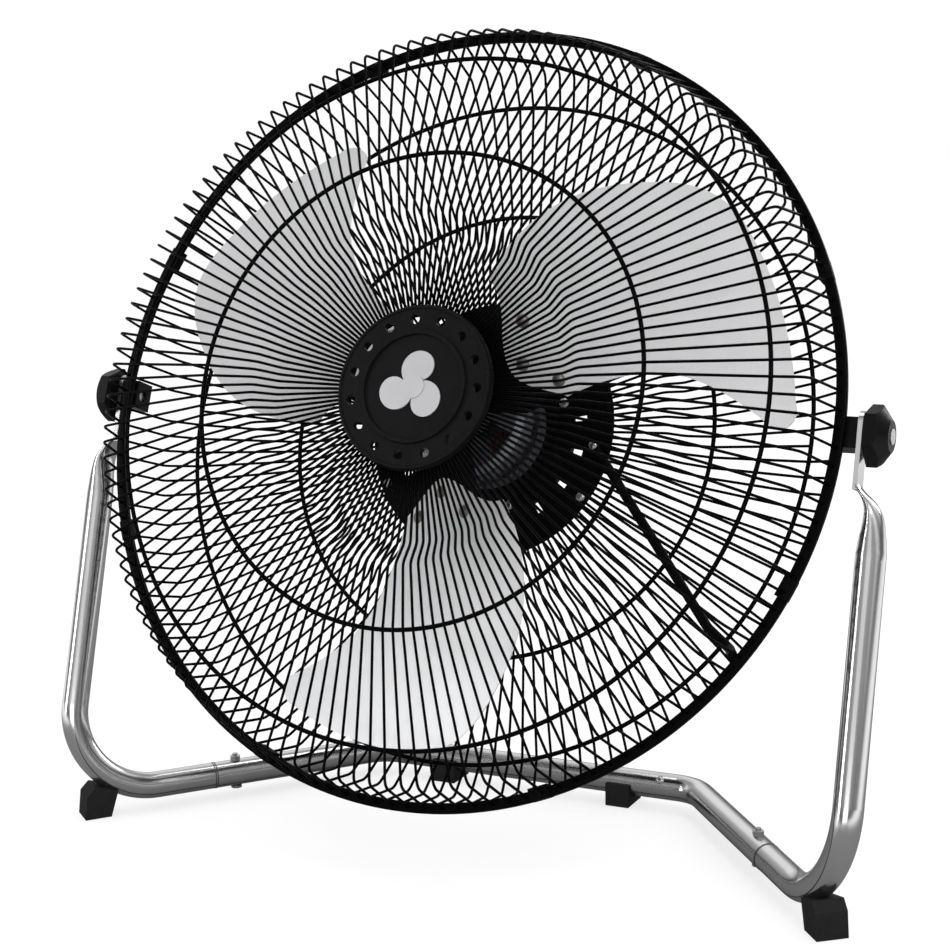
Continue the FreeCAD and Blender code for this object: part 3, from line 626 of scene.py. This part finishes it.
# Clips that hold the two guards to the rim, each with a small screw.
CLIP_COUNT = 8
CLIP_HALF_ANGLE = 1.5
CLIP_SLICES = 7
CLIP_FACE = -4.4
CLIP_SCREW_OUT = 261.2
CLIP_SECTION = [(CLIP_FACE, 256.6), (CLIP_FACE, 263.6), (-3.2, 264.9), (-2.6, 264.9), (-2.6, 257.8),
                (2.6, 257.8), (2.6, 264.9), (3.2, 264.9), (-CLIP_FACE, 263.6), (-CLIP_FACE, 256.6)]
clips, clip_screws = [], []
for number in range(CLIP_COUNT):
    middle = TAU * (number + 0.5) / CLIP_COUNT
    half = math.radians(CLIP_HALF_ANGLE)
    verts, faces = [], []
    for step in range(CLIP_SLICES):
        turn = middle - half + 2 * half * step / (CLIP_SLICES - 1)
        verts += [round_head(turn, out, back) for back, out in CLIP_SECTION]
    count = len(CLIP_SECTION)
    for step in range(CLIP_SLICES - 1):
        for index in range(count):
            a, b = step * count + index, step * count + (index + 1) % count
            faces.append((a, b, b + count, a + count))
    faces.append(tuple(reversed(range(count))))
    faces.append(tuple((CLIP_SLICES - 1) * count + index for index in range(count)))
    clips.append((verts, faces))
    screw_spot = round_head(middle, CLIP_SCREW_OUT, CLIP_FACE)
    clip_screws.append(placed(cross_screw(2.6 * MM, 1.5 * MM), screw_spot, (0, -1, 0)))
verts, faces = joined(clips)
rim_clips = piece_from("rim_clips", verts, faces, "head", metal_black, smooth=False,
                       matrix=HEAD)
bevelled(rim_clips, 0.4 * MM, 2)
verts, faces = joined(clip_screws)
piece_from("rim_clip_screws", verts, faces, "head", metal_black, smooth=False, matrix=HEAD)

# Screws that hold the rear guard to the motor plate, and the motor to the plate.
PLATE_FRONT = 60.0


def screw_circle(count, phase, out, radius, height):
    """Screw heads evenly round the plate, facing forwards."""
    head_of_one = cross_screw(radius * MM, height * MM)
    return [placed(head_of_one, round_head(TAU * (number + phase) / count, out, PLATE_FRONT), (0, -1, 0))
            for number in range(count)]


verts, faces = joined(screw_circle(4, 0.25, 56.0, 3.4, 2.2) + screw_circle(6, 0.5, 84.5, 3.2, 2.0))
piece_from("plate_screws", verts, faces, "head", steel, smooth=False, matrix=HEAD)

# Brace: the same bent bar with flattened ends, screwed at the plate.
BRACE_RADIUS = 3.25 * MM
BRACE_PRESSED = 9 * MM
BRACE_ROUTE = ((78, 56.7, -6), (100, 56.7, -32), (179, 44, -123), (200, 30, -136.5), (211.0, 3, -143.4))
brace_line = subdivided(arc_path([Vector(spot) * MM for spot in BRACE_ROUTE], 10.0 * MM, 8), 6 * MM)
brace_length = sum((b - a).length for a, b in zip(brace_line, brace_line[1:]))
sizes_here, run = [], 0.0
for index, spot in enumerate(brace_line):
    if index:
        run += (spot - brace_line[index - 1]).length
    near = min(run, brace_length - run) / BRACE_PRESSED
    pressed = math.exp(-near * near)
    sizes_here.append((BRACE_RADIUS * (1 + 0.2 * pressed), BRACE_RADIUS * (1.0 - 0.35 * pressed)))
verts, faces = swept(brace_line, Vector((0.55, 0.0, 0.83)), sizes_here, 20)
piece_from("brace_bar", verts, faces, "head", metal_black, matrix=HEAD,
           replaces=("brace_rod",))
brace_screw_spot = brace_line[0] + Vector((1.5, -2.4, -1.5)) * MM
verts, faces = placed(cross_screw(3.0 * MM, 1.8 * MM), brace_screw_spot, (0, -1, 0))
piece_from("brace_screw", verts, faces, "head", steel, smooth=False, matrix=HEAD)

# Strain relief where the mains lead would enter the rear cover: a tapered boot with ribs.
BOOT_STATIONS = 25
BOOT_SIDES = 32
BOOT_LENGTH = 9.0
BOOT_RIB = 0.7


def boot_parts():
    """The boot standing along +Z, narrowing and ribbed."""
    verts, faces = [], []
    for station in range(BOOT_STATIONS):
        share = station / (BOOT_STATIONS - 1)
        ribbed = station % 4 in (1, 2) and 2 < station < BOOT_STATIONS - 2
        out = 6.0 - 1.6 * share + (BOOT_RIB if ribbed else 0) - BOOT_RIB
        for step in range(BOOT_SIDES):
            turn = TAU * step / BOOT_SIDES
            verts.append((out * math.cos(turn) * MM, out * math.sin(turn) * MM, share * BOOT_LENGTH * MM))
    for row in range(BOOT_STATIONS - 1):
        for step in range(BOOT_SIDES):
            a, b = row * BOOT_SIDES + step, row * BOOT_SIDES + (step + 1) % BOOT_SIDES
            faces.append((a, b, b + BOOT_SIDES, a + BOOT_SIDES))
    last_row = (BOOT_STATIONS - 1) * BOOT_SIDES
    faces.append(tuple(reversed(range(BOOT_SIDES))))
    faces.append(tuple(last_row + step for step in range(BOOT_SIDES)))
    return verts, faces


verts, faces = placed(boot_parts(), (0, 74 * MM, -54.0 * MM), (0, 0, -1))
piece_from("gland_boot", verts, faces, "head", rubber_black, matrix=HEAD,
           replaces=("cord_gland",))


# Rear cover: raised cooling ribs round the switch, slats round its side, plain dial marks, and a ribbed knob.
COVER_BACK = 94.0
COVER_RIBS = 28
COVER_RIB_INNER, COVER_RIB_OUTER = 21.0, 40.5
SLAT_ROWS = 5
SLAT_SPANS = ((0.12, 0.38), (0.62, 0.88))
SLAT_OUT = 54.0
MARK_SWINGS = (-67.5, -22.5, 22.5, 67.5)
MARK_OUTS = (15.0, 16.0, 17.5, 18.4)
GRIP_RIBS = 22


def ways_at(turn):
    """Outward and sideways at an angle about the head's axis."""
    return Vector((math.cos(turn), 0, math.sin(turn))), Vector((-math.sin(turn), 0, math.cos(turn)))


def cover_ribs():
    ends, belly = (0.5 * MM, 0.4 * MM), (0.9 * MM, 0.8 * MM)
    raised = Vector((0, (COVER_BACK + 0.15) * MM, 0))
    ribs = []
    for number in range(COVER_RIBS):
        outward, sideways = ways_at(TAU * number / COVER_RIBS)
        outs = [COVER_RIB_INNER + (COVER_RIB_OUTER - COVER_RIB_INNER) * step / 4 for step in range(5)]
        line = [outward * out * MM + raised for out in outs]
        ribs.append(swept(line, sideways, [ends, belly, belly, belly, ends], 10))
    return joined(ribs)


def cover_slats():
    slats = []
    for row in range(SLAT_ROWS):
        back = 66.0 + 4.4 * row
        for first, last in SLAT_SPANS:
            turns = [TAU * (first + (last - first) * step / 20) for step in range(21)]
            line = [round_head(turn, SLAT_OUT, back) for turn in turns]
            slats.append(swept(line, Vector((0, 1, 0)), (0.9 * MM, 0.55 * MM), 8))
    return joined(slats)


def dial_marks():
    """One mark for each switch position, each a little wider than the last."""
    raised = Vector((0, (COVER_BACK + 0.1) * MM, 0))
    marks = []
    for number, swing in enumerate(MARK_SWINGS):
        outward, sideways = ways_at(math.radians(90 + swing))
        line = [outward * out * MM + raised for out in MARK_OUTS]
        marks.append(swept(line, sideways, ((0.35 + 0.16 * number) * MM, 0.25 * MM), 8))
    return joined(marks)


def knob_grip():
    grip = []
    for number in range(GRIP_RIBS):
        turn = TAU * number / GRIP_RIBS
        line = [round_head(turn, 12.1 - 0.105 * step, COVER_BACK + 3.6 + step) for step in range(11)]
        grip.append(swept(line, ways_at(turn)[1], (0.55 * MM, 0.5 * MM), 8))
    return joined(grip)


verts, faces = cover_ribs()
piece_from("cover_ribs", verts, faces, "head", plastic_black, matrix=HEAD)
verts, faces = cover_slats()
piece_from("cover_slats", verts, faces, "head", plastic_black, matrix=HEAD)
verts, faces = dial_marks()
piece_from("dial_marks", verts, faces, "head", silver, matrix=HEAD)
verts, faces = knob_grip()
piece_from("speed_knob_ribs", verts, faces, "speed_knob_body", plastic_black, matrix=HEAD)
pointer_line = [Vector((0, (COVER_BACK + 15.1) * MM, out * MM)) for out in (1.5, 4, 7, 9.2)]
verts, faces = swept(pointer_line, Vector((1, 0, 0)), (0.6 * MM, 0.25 * MM), 8)
piece_from("speed_knob_pointer", verts, faces, "speed_knob_body", silver, matrix=HEAD)
refined("speed_knob", "speed_knob_body", 0.5 * MM, 2)


# ---------------------------------------------------------------- stand details
tube_radius = 9.5 * MM
floor_z = 16.0 * MM
lean = math.radians(16.4)
JOINT_SHARE = 0.45
SEAM_UP_TO = 210 * MM
FRONT_BEND = 55.0 * MM
REAR_BEND = 28.0 * MM
DIMPLE_FROM_CORNER = 60 * MM
COLLAR = ((-1.1, 9.56), (-0.5, 9.72), (-0.2, 9.35), (0.2, 9.35), (0.5, 9.72), (1.1, 9.56))
COLLAR_STEPS = 40
front_corner = Vector((284.5 * MM, pivot.y - (pivot.z - floor_z) * math.tan(lean), floor_z))
rear_corner = Vector((126.0 * MM, pivot.y + 107.8 * MM, floor_z))
arm_way = (rear_corner - front_corner).normalized()
joint_place = front_corner + (rear_corner - front_corner) * JOINT_SHARE
upright_way = Vector((0, math.sin(lean), math.cos(lean)))


def flipped(spot, side):
    """The same place on the left (-1) or right (1) of the stand."""
    return Vector((side * spot.x, spot.y, spot.z))


def seam(path, side_way, radius, name):
    """The fine welded seam that runs along a drawn tube."""
    line = []
    for spot, way in zip(path, directions(path)):
        out = (side_way - way * side_way.dot(way)).normalized()
        line.append(spot + out * (radius + 0.02 * MM))
    verts, faces = swept(line, side_way.cross(directions(line)[0]), (0.42 * MM, 0.12 * MM), 6)
    piece_from(name, verts, faces, "stand", seam_dark_and_dent_shade)


def collar_parts(middle, along):
    """A thin dark ring with raised lips, round the tube where two tubes meet."""
    turn = along.to_track_quat("Z", "Y").to_matrix()
    verts, faces = [], []
    for shift, radius in COLLAR:
        for step in range(COLLAR_STEPS):
            swing = TAU * step / COLLAR_STEPS
            spot = Vector((radius * MM * math.cos(swing), radius * MM * math.sin(swing), shift * MM))
            verts.append(middle + turn @ spot)
    for row in range(len(COLLAR) - 1):
        for step in range(COLLAR_STEPS):
            a, b = row * COLLAR_STEPS + step, row * COLLAR_STEPS + (step + 1) % COLLAR_STEPS
            faces.append((a, b, b + COLLAR_STEPS, a + COLLAR_STEPS))
    return verts, faces


for side, label in ((-1, "left"), (1, "right")):
    seam_end = front_corner + upright_way * SEAM_UP_TO
    route = [flipped(spot, side) for spot in (joint_place, front_corner, seam_end)]
    line = subdivided(arc_path(route, FRONT_BEND, 24), 8 * MM)
    seam(line, Vector((-side * 0.55, -0.75, -0.45)), tube_radius, "side_tube_seam_" + label)
    verts, faces = collar_parts(flipped(joint_place, side), flipped(arm_way, side))
    piece_from("joint_ring_" + label, verts, faces, "stand", seam_dark_and_dent_shade)
    # the locating dimple on the arm, near the front bend: a raised dome whose dark colour is painted shade,
    # standing in for the shadow inside the dent
    dimple = disc_parts(2.3 * MM, 0.25 * MM, 24, 0.8, 0.5 * MM)
    on_top = Vector((0, 0, tube_radius - 0.2 * MM))
    spot = flipped(front_corner + arm_way * DIMPLE_FROM_CORNER, side) + on_top
    verts, faces = placed(dimple, spot, (0, 0, 1))
    piece_from("arm_dimple_" + label, verts, faces, "stand", seam_dark_and_dent_shade)

rear_route = [joint_place, rear_corner, flipped(rear_corner, -1), flipped(joint_place, -1)]
rear_line = subdivided(arc_path(rear_route, REAR_BEND, 16), 8 * MM)
seam(rear_line, Vector((0, -0.9, -0.42)), tube_radius, "rear_tube_seam")
rivet_head = disc_parts(3.2 * MM, 0.6 * MM, 24, 0.8, 1.1 * MM)
rivet_reach = 6.4 * MM
rivet_spots = [Vector((side * 101 * MM, rear_corner.y - rivet_reach, floor_z + rivet_reach))
               for side in (-1, 1)]
verts, faces = joined([placed(rivet_head, spot, (0, -1, 1)) for spot in rivet_spots])
piece_from("rear_tube_rivets", verts, faces, "stand", steel)
